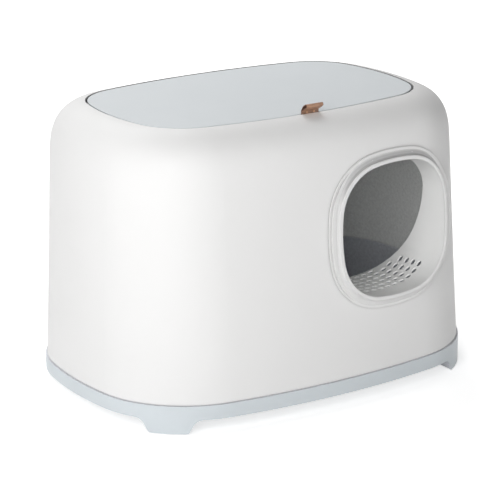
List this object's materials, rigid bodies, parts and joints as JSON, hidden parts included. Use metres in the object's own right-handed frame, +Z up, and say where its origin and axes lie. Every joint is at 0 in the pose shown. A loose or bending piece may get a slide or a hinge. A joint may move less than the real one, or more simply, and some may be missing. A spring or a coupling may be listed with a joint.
{
  "type": "hooded litter box",
  "caption": "Rounded hooded litter box on a footed tray base, with a round side entry ring and tunnel, and a hinged top lid opened by a leather loop.",
  "frame": {"origin": "centre of the footprint of the base tray on the floor, at the undersides of the four foot pads; the entry ring stands a few millimetres in front of the base, so the middle of the whole object's box is under 1 mm further towards -Y", "axes": "+Z up; +X along the long side, to the viewer's right when facing the entry side; -Y is the front, with the entry ring and the lid's pull tab; +Y is the hinge side"},
  "size_m": [0.5838, 0.4254, 0.4148],
  "materials": {
    "hood_plastic": "smooth warm-white moulded plastic, satin",
    "base_plastic": "cool light grey moulded plastic, fine matte",
    "lid_plastic": "cool pale grey moulded plastic, satin",
    "ring_plastic": "smooth warm-white moulded plastic, satin",
    "tunnel_plastic": "off-white moulded plastic, satin",
    "arm_plastic": "grey moulded plastic, matte",
    "pad_rubber": "grey soft rubber, matte",
    "bumper_rubber": "translucent grey soft rubber",
    "tab_leather": "tan smooth leather with a fine grain",
    "rivet_metal": "small dull metal rivets",
    "steel": "plain plated steel"
  },
  "bodies": {
    "base": {"base_tray": "base_plastic", "foot_pad_front_left": "pad_rubber", "foot_pad_front_right": "pad_rubber", "foot_pad_rear_left": "pad_rubber", "foot_pad_rear_right": "pad_rubber"},
    "hood": {"hood_shell": "hood_plastic", "hinge_pin_left": "steel", "hinge_pin_right": "steel", "lid_bumper_front_left": "bumper_rubber", "lid_bumper_front_right": "bumper_rubber", "lid_bumper_rear_left": "bumper_rubber", "lid_bumper_rear_right": "bumper_rubber"},
    "lid": {"top_lid": "lid_plastic", "hinge_arm_left": "arm_plastic", "hinge_arm_right": "arm_plastic", "arm_screws": "steel", "pull_tab": "tab_leather", "tab_rivets": "rivet_metal", "tab_plate": "steel", "tab_screws": "steel"},
    "entry": {"entry_ring": "ring_plastic", "entry_tunnel": "tunnel_plastic", "entry_screws": "steel"}
  },
  "joints": [
    {"name": "hood_lift", "type": "slide", "parent": "base", "child": "hood", "axis": [0, 0, 1], "range_m": [0, 0.15]},
    {"name": "lid_hinge", "type": "hinge", "parent": "hood", "child": "lid", "pos_m": [0, 0.1623, 0.38733], "axis": [-1, 0, 0], "range_deg": [0, 95]},
    {"name": "entry_pull", "type": "slide", "parent": "hood", "child": "entry", "axis": [0.0995, -0.9939, 0.0469], "range_m": [0, 0.13]}
  ]
}
